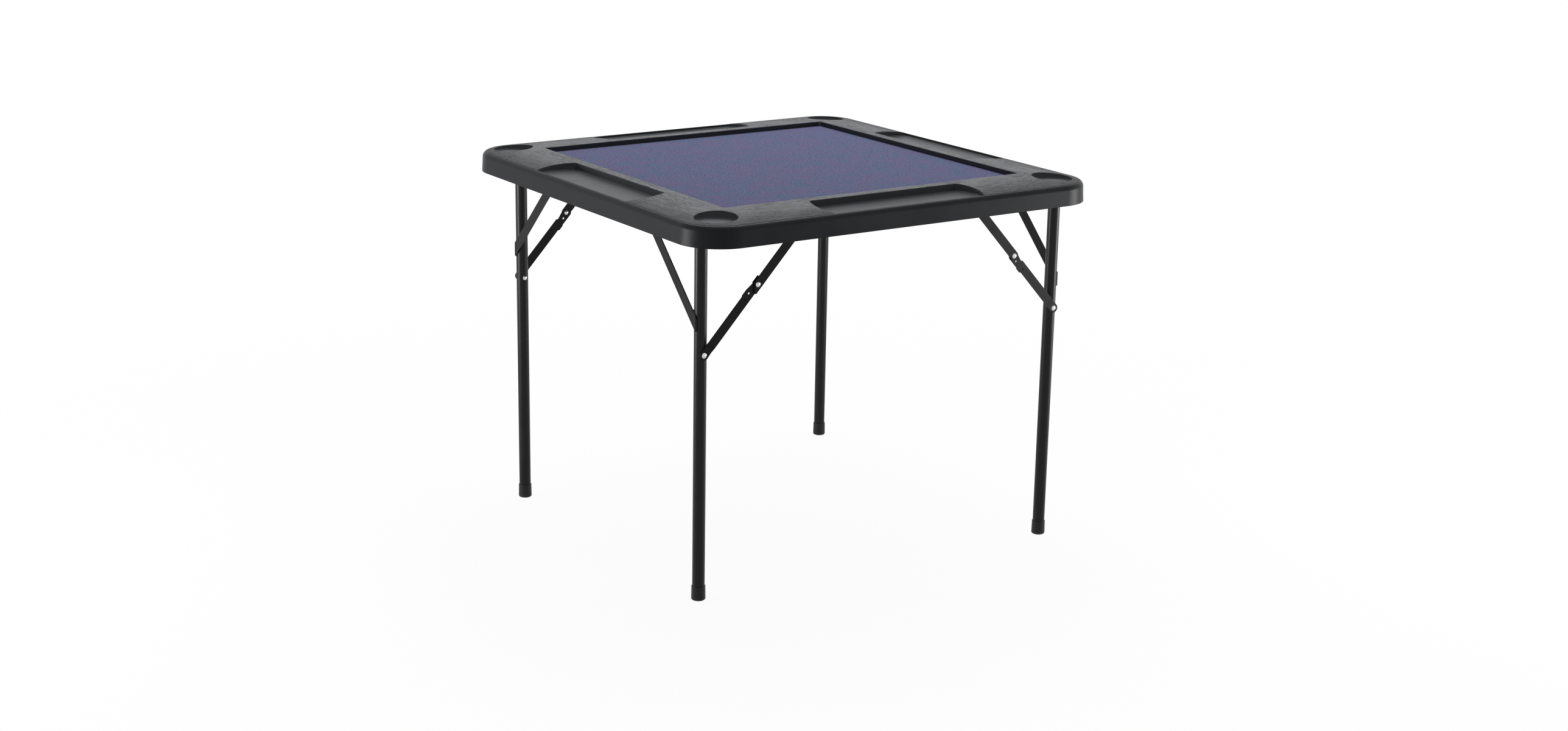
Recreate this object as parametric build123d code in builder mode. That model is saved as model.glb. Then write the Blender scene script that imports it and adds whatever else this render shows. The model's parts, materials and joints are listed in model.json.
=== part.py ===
from build123d import *
import math
import os
from collections import namedtuple

# A folding card table, in millimetres. The origin is on the floor under the middle of the top.
# +Z is up, +X runs along the front side, and the front is toward -Y. The left leg frame stands
# at -X and the right one at +X. Both fold inward, and the left one lies between the right one's
# legs.

# Moulded border
top_side = 884.0  # across the lower edge of the apron
top_height = 716.6  # floor to the crest of the border
apron_depth = 46.6
apron_draft = 2.5  # degrees
corner_radius = 80.0  # plan corners of the apron
edge_radius = 12.0  # between the border's face and the apron
border_width = 112.0  # apron to field
crown_fall = 8.8  # fall of the border's face over that width
border_thickness = 20.6  # crest to the flat underside
skirt_wall = 15.0

# Playing field
field_depth = 9.6  # crest to the face of the felt
field_corner = 4.0
felt_thickness = 1.2
felt_margin = 0.5
board_thickness = 6.8
board_margin = 0.3
ledge_width = 18.0

# Cup holders
cup_radius = 39.6
cup_shift = 11.0  # from the middle of the border's width toward the field
cup_depth = 13.6  # below the crest
cup_draft = 4.0  # degrees

# Chip trays
land_width = 21.0  # field to tray
lip_width = 7.5  # outside of the apron to tray
tray_share = 0.5  # inner wall of a tray over the field's side
tray_flare = 3.0  # the outer wall reaches this much further at both ends
tray_bow = 11.0  # how far the end walls swing out
tray_corner = 8.0
tray_depth = 13.6  # below the crest
tray_draft = 14.0  # degrees
floor_round = 2.5  # cup and tray floors
rim_round = 1.0  # upper edges of the trays and the field

# Leg frames
frame_inset = 62.0  # apron to the plane of each frame
leg_inset = 106.5  # apron to the left frame's legs
nest_pitch = 44.5  # from there out to the right frame's legs
pivot_drop = 34.6  # crest of the border to the left frame's pivot
nest_drop = 3.0  # the right frame's pivot lies lower, so its gussets pass under the left legs
tube_radius = 11.5
tube_wall = 1.2
weld_gap = 0.1

# Foot caps
cap_base_radius = 13.15
cap_mouth_radius = 12.75
cap_height = 27.0
cap_floor = 3.0
cap_base_round = 3.0
cap_mouth_round = 0.8
cap_clearance = 0.1

# Gusset strips
gusset_width = 20.0
gusset_thickness = 2.0
gusset_drop = 161.0  # pivot to where the strip's centre line meets the leg's
gusset_slope = 45.0  # degrees
gusset_tail = 5.0  # past the leg's centre line
gusset_rise = 6.0  # past the pivot's height
gusset_round = 1.5

# Jointed braces
brace_drop = 221.5  # left frame's pivot to the rivets in the legs
link_step = 16.0  # the lower link is this much longer, and the folded links pack flat
link_width = 17.5
link_thickness = 2.0
eye_radius = 9.0
eye_gap = 0.2
joggle = 2.3  # the lower link steps out from the leg
joggle_start = 12.0  # from the leg rivet
joggle_run = 10.0
layer_gap = 0.3
spacer_height = 2.7  # upper link to rail

# Knee of a brace, measured from the knee rivet toward the leg
head_right_hand = 12.0  # the lower link's head reaches this far past the rivet
head_left_hand = 8.0
head_step = 1.0
head_round = 3.0  # toward the table's corner
head_sweep = 6.0  # away from it, clear of the top as the link swings up
shift_right_hand = 1.3  # the lower link lies this far to the corner's side
shift_left_hand = 0.5  # the lower link lies this far to the outer side
upper_end = 16.0
upper_end_bevel = 13.0
neck_start = 5.0
neck_end = 21.0
neck_depth = 2.8
shoulder_start = 24.0
shoulder_end = 36.0
shoulder_step = 1.4
lock_hole_radius = 2.0
lock_hole_right_hand = 23.0
lock_hole_left_hand = 13.0
dimple_place = 36.0
dimple_radius = 2.4
dimple_depth = 0.8
punch_offset = 3.0  # hole and dimple from the centre line

# Rivets and pins
rivet_radius = 2.5
rivet_head_radius = 5.0
rivet_head_height = 2.0
rivet_tail_radius = 4.5
rivet_tail_height = 1.8
flush_head_radius = 4.0
flush_head_depth = 1.4
running_fit = 0.05
seat_gap = 0.1
pin_radius = 4.0
pin_head_radius = 7.0
pin_head_height = 2.5
pin_plug_length = 18.0
end_gap = 0.3

# Side rails
rail_wall = 2.0
rail_depth = 24.5
rail_end = 22.0  # past the pivots
rail_bend = 2.5  # inside radius
inner_flange_stop = 10.0  # short of the right frame's cross tube
screw_shares = (0.12, 0.53, 0.93)  # of the way from the end of a tray to a cup holder
screw_radius = 2.1
screw_head_radius = 4.0
screw_length = 14.0
screw_point = 3.0

overrun = 5.0  # cuts pass this far through a face
touch = 0.01  # tolerance when a face or an edge is picked by its height

# Heights and places that follow
apron_bottom = top_height - apron_depth
underside = top_height - border_thickness
felt_top = top_height - field_depth
board_top = felt_top - felt_thickness
ledge_top = board_top - board_thickness
top_half = top_side / 2
crest_half = top_half - border_width
field_side = 2 * crest_half
face_end = top_half - apron_depth * math.tan(math.radians(apron_draft))
crown_run = face_end - crest_half
crown_radius = (crown_run**2 + crown_fall**2) / (2 * crown_fall)
cup_centre = top_half - border_width / 2 - cup_shift
tray_inner = crest_half + land_width
tray_outer = top_half - lip_width
tray_middle = (tray_inner + tray_outer) / 2
tray_half_length = tray_share * crest_half
tray_outer_half_length = tray_half_length + tray_flare
frame_reach = top_half - frame_inset
inner_leg_line = top_half - leg_inset
inner_pivot_height = top_height - pivot_drop
leg_rivet_height = inner_pivot_height - brace_drop
rail_half_length = frame_reach + rail_end
tube_bore = tube_radius - tube_wall

# Layers, outward from the centre line of a leg
eye_inner = tube_radius + eye_gap
lower_inner = eye_inner + joggle
upper_inner = lower_inner + link_thickness + layer_gap
upper_outer = upper_inner + link_thickness
flange_inner = upper_outer + spacer_height
flange_outer = flange_inner + rail_wall
rail_near = inner_leg_line + flange_inner
rail_far = inner_leg_line + nest_pitch + flange_outer
rail_middle = (rail_near + rail_far) / 2
tray_end = tray_half_length + tray_bow
screw_places = [tray_end + share * (cup_centre - cup_radius - tray_end) for share in screw_shares]
screw_points = [
    (x * place, y * rail_middle) for place in screw_places for x in (-1, 1) for y in (-1, 1)
]

Frame = namedtuple("Frame", "name side leg_line pivot_height")
left_frame = Frame("left", -1, inner_leg_line, inner_pivot_height)
right_frame = Frame("right", 1, inner_leg_line + nest_pitch, inner_pivot_height - nest_drop)
frames = (left_frame, right_frame)
ends = {"front": -1, "rear": 1}


def save(piece, label):
    """Name a finished piece and write its file."""
    piece.part.label = label
    export_step(piece.part, f"parts/{label}.step")


def brace_sizes(frame):
    """Reach down the leg, reach along the rail, and the lengths of the upper and lower links."""
    down = frame.pivot_height - leg_rivet_height
    along = down - link_step
    whole = math.hypot(down, along)
    return down, along, (whole - link_step) / 2, (whole + link_step) / 2


def across(frame, end, x, height, reach=0.0):
    """Plane whose Y axis runs outward across a leg, for whatever turns about that line."""
    origin = (x, ends[end] * (frame.leg_line + reach), height)
    return Plane(origin=origin, x_dir=(1, 0, 0), z_dir=(0, 0, ends[end]))


def turned(plane, outline):
    """Solid made by turning an outline of (radius, place) points about the plane's Y axis."""
    with BuildPart() as body:
        with BuildSketch(plane):
            with BuildLine():
                Polyline(*outline, close=True)
            make_face()
        revolve(axis=Axis(plane.origin, plane.y_dir))
    return body.part


def domed(plane, radius, place, height):
    """Domed rivet head on the plane's Y axis. A negative height domes inward."""
    with BuildPart() as dome:
        with BuildSketch(plane):
            with BuildLine():
                Polyline((0, place + height), (0, place), (radius, place))
                TangentArc((0, place + height), (radius, place), tangent=(1, 0))
            make_face()
        revolve(axis=Axis(plane.origin, plane.y_dir))
    return dome.part


def rod(plane, radius, inner, outer):
    """Plain shank, or the cutter for a round hole, on the plane's Y axis."""
    with BuildPart() as body:
        with BuildSketch(Plane(plane.origin + plane.y_dir * inner, z_dir=plane.y_dir)):
            Circle(radius)
        extrude(amount=outer - inner)
    return body.part


os.makedirs("parts", exist_ok=True)

# Moulded border: one section along each side, mitred at the crest and turned round each corner
with BuildSketch() as tray_outline:
    with BuildLine():
        inner_wall = Line((tray_inner, -tray_half_length), (tray_inner, tray_half_length))
        ThreePointArc(
            inner_wall @ 1,
            (tray_middle, tray_half_length + tray_bow),
            (tray_outer, tray_outer_half_length),
        )
        outer_wall = Line((tray_outer, tray_outer_half_length), (tray_outer, -tray_outer_half_length))
        ThreePointArc(
            outer_wall @ 1,
            (tray_middle, -tray_half_length - tray_bow),
            inner_wall @ 0,
        )
    make_face()
    fillet(tray_outline.vertices().group_by(Axis.X)[0], tray_corner)

with BuildSketch() as border_profile:
    with BuildLine():
        face_low = top_height - crown_fall
        crest = Line((-crest_half, top_height), (crest_half, top_height))
        TangentArc(crest @ 1, (face_end, face_low), tangent=(1, 0))
        TangentArc(crest @ 0, (-face_end, face_low), tangent=(-1, 0))
        Polyline(
            (-face_end, face_low),
            (-top_half, apron_bottom),
            (top_half, apron_bottom),
            (face_end, face_low),
        )
    make_face()
    shoulders = border_profile.vertices().filter_by_position(Axis.Y, face_low - touch, face_low + touch)
    fillet(shoulders, edge_radius)

corner_centre = top_half - corner_radius
with BuildPart() as turned_corner:
    corner_plane = Plane((corner_centre, corner_centre, 0), x_dir=(1, 0, 0), z_dir=(0, -1, 0))
    with BuildSketch(corner_plane):
        with Locations((-corner_centre, 0)):
            add(border_profile.sketch)
        with Locations((corner_radius / 2, apron_bottom)):
            Rectangle(corner_radius, 4 * apron_depth, mode=Mode.INTERSECT)
    revolve(axis=Axis(corner_plane.origin, (0, 0, 1)), revolution_arc=90)

with BuildPart() as moulded_border:
    with BuildSketch(Plane.XZ):
        add(border_profile.sketch)
    extrude(amount=top_half, both=True)
    with BuildSketch(Plane.YZ):
        add(border_profile.sketch)
    extrude(amount=top_half, both=True, mode=Mode.INTERSECT)
    with BuildSketch(Plane.XY.offset(apron_bottom - overrun)):
        with GridLocations(2 * top_half, 2 * top_half, 2, 2):
            Rectangle(2 * corner_radius, 2 * corner_radius)
    extrude(amount=apron_depth + 2 * overrun, mode=Mode.SUBTRACT)
    with PolarLocations(0, 4):
        add(turned_corner.part)
    # Well for the folded legs, inside the skirt
    with BuildSketch(Plane.XY.offset(apron_bottom)):
        well_side = top_side - 2 * skirt_wall
        RectangleRounded(well_side, well_side, corner_radius - skirt_wall)
    extrude(amount=underside - apron_bottom, taper=apron_draft, mode=Mode.SUBTRACT)
    # Recess for the board and the felt, with the ledge below
    with BuildSketch(Plane.XY.offset(ledge_top)):
        RectangleRounded(field_side, field_side, field_corner)
    extrude(amount=top_height - ledge_top + overrun, mode=Mode.SUBTRACT)
    crest_edges = moulded_border.edges().filter_by_position(
        Axis.Z, top_height - touch, top_height + touch
    )
    fillet(crest_edges, rim_round)
    with BuildSketch(Plane.XY.offset(ledge_top)):
        RectangleRounded(field_side - 2 * ledge_width, field_side - 2 * ledge_width, field_corner)
    extrude(amount=underside - ledge_top - overrun, mode=Mode.SUBTRACT)
    # Chip trays and cup holders
    with BuildSketch(Plane.XY.offset(top_height)):
        with PolarLocations(0, 4):
            add(tray_outline.sketch)
    extrude(amount=-tray_depth, taper=tray_draft, mode=Mode.SUBTRACT)
    tray_rims = [
        edge
        for edge in moulded_border.edges(Select.LAST)
        if edge.bounding_box().min.Z > top_height - tray_depth + touch
        and min(abs(edge.center().X), abs(edge.center().Y)) < tray_end
    ]
    fillet(tray_rims, rim_round)
    with BuildSketch(Plane.XY.offset(top_height)):
        with GridLocations(2 * cup_centre, 2 * cup_centre, 2, 2):
            Circle(cup_radius)
    extrude(amount=-cup_depth, taper=cup_draft, mode=Mode.SUBTRACT)
    for pocket_floor in {top_height - cup_depth, top_height - tray_depth}:
        floor_edges = moulded_border.edges().filter_by_position(
            Axis.Z, pocket_floor - touch, pocket_floor + touch
        )
        fillet(floor_edges, floor_round)
    # Blind holes for the rails' screws
    with BuildSketch(Plane.XY.offset(underside)):
        with Locations(*screw_points):
            Circle(screw_radius + running_fit)
    extrude(amount=screw_length - rail_wall + seat_gap, mode=Mode.SUBTRACT)
save(moulded_border, "moulded_border")

# Playing board and felt
with BuildPart() as playing_board:
    with BuildSketch(Plane.XY.offset(ledge_top)):
        board_side = field_side - 2 * board_margin
        RectangleRounded(board_side, board_side, field_corner)
    extrude(amount=board_thickness)
save(playing_board, "playing_board")

with BuildPart() as felt_surface:
    with BuildSketch(Plane.XY.offset(board_top)):
        felt_side = field_side - 2 * felt_margin
        RectangleRounded(felt_side, felt_side, field_corner)
    extrude(amount=felt_thickness)
save(felt_surface, "felt_surface")


def side_rail(end):
    """Channel with its web up. Its inner flange carries the left frame, its outer the right."""
    middle = ends[end] * rail_middle
    with BuildPart() as rail:
        with BuildSketch(Plane.YZ.offset(-rail_half_length)) as section:
            with Locations((middle, underside)):
                Rectangle(rail_far - rail_near, rail_depth, align=(Align.CENTER, Align.MAX))
            fillet(section.vertices().group_by(Axis.Y)[-1], rail_bend + rail_wall)
            with Locations((middle, underside - rail_wall)):
                Rectangle(
                    rail_far - rail_near - 2 * rail_wall,
                    rail_depth,
                    align=(Align.CENTER, Align.MAX),
                    mode=Mode.SUBTRACT,
                )
            fillet(section.vertices().group_by(Axis.Y)[-2], rail_bend)
        extrude(amount=2 * rail_half_length)
        # The inner flange stops short of the right frame's cross tube
        stop = frame_reach - tube_radius - inner_flange_stop
        with BuildSketch(Plane.XY.offset(underside - rail_wall - rail_bend)):
            with Locations((stop, ends[end] * rail_near)):
                Rectangle(
                    2 * rail_half_length,
                    2 * (rail_wall + rail_bend),
                    align=(Align.MIN, Align.CENTER),
                )
        extrude(amount=-rail_depth, mode=Mode.SUBTRACT)
        for frame in frames:
            down, along, upper, lower = brace_sizes(frame)
            pivot_x = frame.side * frame_reach
            pivot = across(frame, end, pivot_x, frame.pivot_height)
            rivet = across(frame, end, pivot_x - frame.side * along, frame.pivot_height)
            bearing = pin_radius + running_fit
            add(rod(pivot, bearing, flange_inner - seat_gap, flange_outer + seat_gap), mode=Mode.SUBTRACT)
            seat = rivet_radius + running_fit
            add(rod(rivet, seat, flange_inner - seat_gap, flange_outer + seat_gap), mode=Mode.SUBTRACT)
        with Locations(Plane.XY.offset(underside - rail_wall)):
            with Locations(*[point for point in screw_points if point[1] * middle > 0]):
                with Locations(Rotation(180, 0, 0)):
                    CounterSinkHole(
                        radius=screw_radius + running_fit,
                        counter_sink_radius=screw_head_radius + running_fit,
                        depth=rail_wall,
                        counter_sink_angle=90,
                    )
    return rail


def screw(x, y):
    """Countersunk screw from below, through a rail and into the border."""
    plane = Plane(origin=(x, y, underside - rail_wall), x_dir=(1, 0, 0), z_dir=(0, -1, 0))
    cone = screw_head_radius - screw_radius
    return turned(
        plane,
        (
            (0, 0),
            (screw_head_radius, 0),
            (screw_radius, cone),
            (screw_radius, screw_length - screw_point),
            (0, screw_length),
        ),
    )


def rail_screws():
    """All the screws of both rails."""
    with BuildPart() as screws:
        for x, y in screw_points:
            add(screw(x, y))
    return screws


def brace_rail_rivets():
    """Shouldered rivets that hang the upper links on the rails."""
    with BuildPart() as rivets:
        for frame in frames:
            down, along, upper, lower = brace_sizes(frame)
            for end in ends:
                plane = across(frame, end, frame.side * (frame_reach - along), frame.pivot_height)
                tail = flange_outer + seat_gap
                add(
                    turned(
                        plane,
                        (
                            (0, upper_inner),
                            (flush_head_radius, upper_inner),
                            (rivet_radius, upper_inner + flush_head_depth),
                            (rivet_radius, upper_outer + seat_gap),
                            (rivet_head_radius, upper_outer + seat_gap),
                            (rivet_head_radius, flange_inner - running_fit),
                            (rivet_radius, flange_inner - running_fit),
                            (rivet_radius, tail),
                            (0, tail),
                        ),
                    )
                )
                add(domed(plane, rivet_tail_radius, tail, rivet_tail_height))
    return rivets


for end in ends:
    save(side_rail(end), f"{end}_side_rail")
save(rail_screws(), "rail_screws")
save(brace_rail_rivets(), "brace_rail_rivets")


def leg(frame, end):
    """Tube coped to the cross tube at its top and drilled for the brace's rivet."""
    x = frame.side * frame_reach
    y = ends[end] * frame.leg_line
    with BuildPart() as tube:
        with BuildSketch(Plane.XY.offset(cap_floor)):
            with Locations((x, y)):
                Circle(tube_radius)
                Circle(tube_bore, mode=Mode.SUBTRACT)
        extrude(amount=frame.pivot_height - cap_floor)
        top = across(frame, end, x, frame.pivot_height)
        add(rod(top, tube_radius + weld_gap, -2 * tube_radius, 2 * tube_radius), mode=Mode.SUBTRACT)
        rivet = across(frame, end, x, leg_rivet_height)
        drill = rivet_radius + running_fit
        add(rod(rivet, drill, -2 * tube_radius, 2 * tube_radius), mode=Mode.SUBTRACT)
    return tube


def foot_cap(frame, end):
    """Plastic cap pushed over the end of a leg."""
    plane = Plane(
        origin=(frame.side * frame_reach, ends[end] * frame.leg_line, 0),
        x_dir=(1, 0, 0),
        z_dir=(0, -1, 0),
    )
    with BuildPart() as cap:
        with BuildSketch(plane) as section:
            with BuildLine():
                Polyline(
                    (0, 0),
                    (cap_base_radius, 0),
                    (cap_mouth_radius, cap_height),
                    (0, cap_height),
                    close=True,
                )
            make_face()
            fillet(section.vertices().group_by(Axis.Y)[0].sort_by(Axis.X)[-1], cap_base_round)
            fillet(section.vertices().group_by(Axis.Y)[-1].sort_by(Axis.X)[-1], cap_mouth_round)
            with Locations((0, cap_floor)):
                Rectangle(
                    tube_radius + cap_clearance,
                    cap_height,
                    align=(Align.MIN, Align.MIN),
                    mode=Mode.SUBTRACT,
                )
        revolve(axis=Axis(plane.origin, (0, 0, 1)))
    return cap


def cross_tube(frame):
    """Tube across both legs, with its ends just inside the rails' flanges."""
    half = frame.leg_line + flange_inner - end_gap
    with BuildPart() as tube:
        with BuildSketch(Plane.XZ.offset(-half)):
            with Locations((frame.side * frame_reach, frame.pivot_height)):
                Circle(tube_radius)
                Circle(tube_bore, mode=Mode.SUBTRACT)
        extrude(amount=2 * half)
    return tube


def pivot_pins(frame):
    """Turned pins, plugged into the ends of the cross tube, that run in the rails' flanges."""
    mouth = flange_inner - end_gap
    plug = tube_bore - running_fit
    head = flange_outer + end_gap
    with BuildPart() as pins:
        for end in ends:
            add(
                turned(
                    across(frame, end, frame.side * frame_reach, frame.pivot_height),
                    (
                        (0, mouth - pin_plug_length),
                        (plug, mouth - pin_plug_length),
                        (plug, mouth),
                        (pin_radius, mouth),
                        (pin_radius, head),
                        (pin_head_radius, head),
                        (pin_head_radius, head + pin_head_height),
                        (0, head + pin_head_height),
                    ),
                )
            )
    return pins


def leg_rivets(frame):
    """Rivets through the legs, that carry the lower links."""
    tail = -tube_radius - seat_gap
    head = eye_inner + link_thickness + seat_gap
    with BuildPart() as rivets:
        for end in ends:
            plane = across(frame, end, frame.side * frame_reach, leg_rivet_height)
            add(rod(plane, rivet_radius, tail, head))
            add(domed(plane, rivet_head_radius, head, rivet_head_height))
            add(domed(plane, rivet_tail_radius, tail, -rivet_tail_height))
    return rivets


def gusset(frame, end):
    """Flat strip from a leg up to the cross tube, on the frame's outer face."""
    slope = math.tan(math.radians(gusset_slope))
    half = gusset_width / 2 / math.cos(math.radians(gusset_slope))
    top = frame.pivot_height + gusset_rise
    gusset_height = frame.pivot_height - gusset_drop
    tail_drop = gusset_tail * slope
    outline = (
        (-gusset_tail, gusset_height - tail_drop - half),
        ((top - gusset_height + half) / slope, top),
        ((top - gusset_height - half) / slope, top),
        (-gusset_tail, gusset_height - tail_drop + half),
    )
    side = ends[end]
    with BuildPart() as strip:
        with BuildSketch(Plane.YZ.offset(frame.side * (frame_reach + tube_radius))) as face:
            with BuildLine():
                Polyline(
                    *[(side * (frame.leg_line - inward), height) for inward, height in outline],
                    close=True,
                )
            make_face()
            fillet(face.vertices(), gusset_round)
        extrude(amount=frame.side * gusset_thickness)
    return strip


def knee_plane(frame, end):
    """Plane on the knee: X toward the leg rivet, Y toward the table's corner."""
    down, along, upper, lower = brace_sizes(frame)
    whole = upper + lower
    toward_leg = (frame.side * along / whole, 0, -down / whole)
    x = frame.side * (frame_reach - lower * along / whole)
    z = leg_rivet_height + lower * down / whole
    return Plane(
        origin=(x, ends[end] * frame.leg_line, z),
        x_dir=toward_leg,
        z_dir=(0, -frame.side, 0),
    )


def is_right_hand(frame, end):
    """Braces come in two hands, alike at opposite corners of the table."""
    return frame.side == ends[end]


def upper_link(frame, end):
    """Flat strip from the rail to the knee, in the outer layer."""
    down, along, upper, lower = brace_sizes(frame)
    plane = knee_plane(frame, end)
    outward = -frame.side * ends[end]
    half = link_width / 2
    with BuildPart() as link:
        with BuildSketch(plane.offset(outward * upper_inner)):
            with Locations((-upper, 0)):
                Circle(half)
            if is_right_hand(frame, end):
                with BuildLine():
                    Polyline(
                        (-upper, half),
                        (upper_end - upper_end_bevel, half),
                        (upper_end, -half / 2),
                        (upper_end, -half),
                        (-upper, -half),
                        close=True,
                    )
                make_face()
            else:
                with Locations((-upper / 2, 0)):
                    Rectangle(upper, link_width)
                Circle(half)
        extrude(amount=outward * link_thickness)
        rail_hole = across(frame, end, frame.side * (frame_reach - along), frame.pivot_height)
        seat = rivet_radius + running_fit
        flush = flush_head_radius + running_fit
        add(
            turned(
                rail_hole,
                (
                    (0, upper_inner - seat_gap),
                    (flush, upper_inner - seat_gap),
                    (flush, upper_inner),
                    (seat, upper_inner + flush_head_depth),
                    (seat, upper_outer + seat_gap),
                    (0, upper_outer + seat_gap),
                ),
            ),
            mode=Mode.SUBTRACT,
        )
        knee = across(frame, end, plane.origin.X, plane.origin.Z)
        add(rod(knee, seat, upper_inner - seat_gap, upper_outer + seat_gap), mode=Mode.SUBTRACT)
    return link


def lower_link_outline(frame, end):
    """Corners of the lower link in its knee plane, from the head round to the eye and back."""
    down, along, upper, lower = brace_sizes(frame)
    half = link_width / 2
    straight = lower - joggle_start - joggle_run
    if is_right_hand(frame, end):
        corner_side = half + shift_right_hand
        outer_side = half - shift_right_hand
        return (
            (-head_right_hand, -outer_side),
            (straight, -outer_side),
            (lower, -eye_radius),
            (lower, eye_radius),
            (straight, corner_side),
            (shoulder_end, corner_side),
            (shoulder_end - shoulder_step, corner_side + shoulder_step),
            (neck_end, corner_side + shoulder_step),
            (neck_start, half),
            (neck_start - head_step, corner_side + head_step / 2),
            (-head_right_hand, corner_side + head_step / 2),
        )
    corner_side = half - shift_left_hand
    outer_side = half + shift_left_hand
    return (
        (-head_left_hand, -outer_side - head_step),
        (shoulder_start, -outer_side - head_step),
        (shoulder_start + shoulder_step, -outer_side - head_step - shoulder_step),
        (shoulder_end, -outer_side - head_step - shoulder_step),
        (shoulder_end + 2 * shoulder_step, -outer_side),
        (straight, -outer_side),
        (lower, -eye_radius),
        (lower, eye_radius),
        (straight, corner_side),
        (shoulder_start, corner_side),
        (neck_end, corner_side - neck_depth),
        (neck_start, corner_side),
        (-head_left_hand, corner_side),
    )


def lower_link(frame, end):
    """Strip from the knee to the leg, stepped in to the leg, with its lock hole and dimple."""
    down, along, upper, lower = brace_sizes(frame)
    plane = knee_plane(frame, end)
    side = ends[end]
    outward = -frame.side * side
    step_end = lower - joggle_start
    step_start = step_end - joggle_run
    edge_view = Plane(
        origin=plane.origin,
        x_dir=plane.x_dir,
        z_dir=plane.x_dir.cross(Vector(0, side, 0)),
    )
    right_hand = is_right_hand(frame, end)
    punch_side = punch_offset if right_hand else -punch_offset
    lock_hole = lock_hole_right_hand if right_hand else lock_hole_left_hand
    with BuildPart() as link:
        with BuildSketch(edge_view):
            with BuildLine():
                Polyline(
                    (-2 * head_right_hand, lower_inner),
                    (step_start, lower_inner),
                    (step_end, eye_inner),
                    (lower + 2 * eye_radius, eye_inner),
                    (lower + 2 * eye_radius, eye_inner + link_thickness),
                    (step_end, eye_inner + link_thickness),
                    (step_start, lower_inner + link_thickness),
                    (-2 * head_right_hand, lower_inner + link_thickness),
                    close=True,
                )
            make_face()
        extrude(amount=link_width, both=True)
        with BuildSketch(plane) as face:
            with BuildLine():
                Polyline(*lower_link_outline(frame, end), close=True)
            make_face()
            head_corners = face.vertices().sort_by(Axis.X)[:2].sort_by(Axis.Y)
            fillet(head_corners[0], head_sweep)
            fillet(head_corners[1], head_round)
            with Locations((lower, 0)):
                Circle(eye_radius)
        extrude(amount=outward * upper_outer, mode=Mode.INTERSECT)
        with BuildSketch(plane):
            with Locations((lock_hole, punch_side)):
                Circle(lock_hole_radius)
        extrude(amount=outward * upper_outer, mode=Mode.SUBTRACT)
        with BuildSketch(plane.offset(outward * (lower_inner + link_thickness - dimple_depth))):
            with Locations((dimple_place, punch_side)):
                Circle(dimple_radius)
        extrude(amount=outward * overrun, mode=Mode.SUBTRACT)
        knee = across(frame, end, plane.origin.X, plane.origin.Z)
        seat = rivet_radius + running_fit
        add(rod(knee, seat, eye_inner, upper_inner), mode=Mode.SUBTRACT)
        foot = across(frame, end, frame.side * frame_reach, leg_rivet_height)
        add(rod(foot, seat, eye_inner - seat_gap, lower_inner + link_thickness), mode=Mode.SUBTRACT)
    return link


def knee_rivet_head(frame, end):
    """Outer part of the knee rivet, that stays on the upper link."""
    plane = knee_plane(frame, end)
    knee = across(frame, end, plane.origin.X, plane.origin.Z)
    with BuildPart() as rivet:
        add(rod(knee, rivet_radius, upper_inner, upper_outer + running_fit))
        add(domed(knee, rivet_head_radius, upper_outer + running_fit, rivet_head_height))
    return rivet


def knee_rivet_tail(frame, end):
    """Inner part of the knee rivet, that stays on the lower link."""
    plane = knee_plane(frame, end)
    knee = across(frame, end, plane.origin.X, plane.origin.Z)
    with BuildPart() as rivet:
        add(rod(knee, rivet_radius, lower_inner - running_fit, lower_inner + link_thickness))
        add(domed(knee, rivet_tail_radius, lower_inner - running_fit, -rivet_tail_height))
    return rivet


for frame in frames:
    save(cross_tube(frame), f"{frame.name}_cross_tube")
    save(pivot_pins(frame), f"{frame.name}_pivot_pins")
    save(leg_rivets(frame), f"{frame.name}_leg_rivets")
    for end in ends:
        corner = f"{frame.name}_{end}"
        save(leg(frame, end), f"{corner}_leg")
        save(foot_cap(frame, end), f"{corner}_foot_cap")
        save(gusset(frame, end), f"{corner}_gusset")
        save(upper_link(frame, end), f"{corner}_upper_brace")
        save(lower_link(frame, end), f"{corner}_lower_brace")
        save(knee_rivet_head(frame, end), f"{corner}_knee_rivet_head")
        save(knee_rivet_tail(frame, end), f"{corner}_knee_rivet_tail")
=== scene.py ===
import json
import math

import bmesh
import bpy
from mathutils import Matrix, Vector


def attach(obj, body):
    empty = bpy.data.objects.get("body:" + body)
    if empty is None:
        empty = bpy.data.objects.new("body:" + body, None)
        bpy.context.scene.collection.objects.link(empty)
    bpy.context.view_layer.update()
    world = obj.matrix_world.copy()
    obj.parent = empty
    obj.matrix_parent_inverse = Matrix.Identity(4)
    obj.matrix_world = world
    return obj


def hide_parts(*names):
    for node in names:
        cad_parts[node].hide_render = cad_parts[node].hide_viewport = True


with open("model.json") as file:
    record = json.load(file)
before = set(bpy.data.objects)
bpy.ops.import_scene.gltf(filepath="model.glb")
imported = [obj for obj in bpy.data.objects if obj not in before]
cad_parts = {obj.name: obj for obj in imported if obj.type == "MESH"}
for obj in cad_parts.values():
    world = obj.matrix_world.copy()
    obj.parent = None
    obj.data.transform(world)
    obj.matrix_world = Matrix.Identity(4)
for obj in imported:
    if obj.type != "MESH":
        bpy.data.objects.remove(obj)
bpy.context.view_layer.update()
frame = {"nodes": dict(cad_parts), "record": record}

# A folding card table in metres: origin on the floor under the middle of the top, +Z up,
# the front toward -Y. The left leg frame stands at -X.

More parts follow.
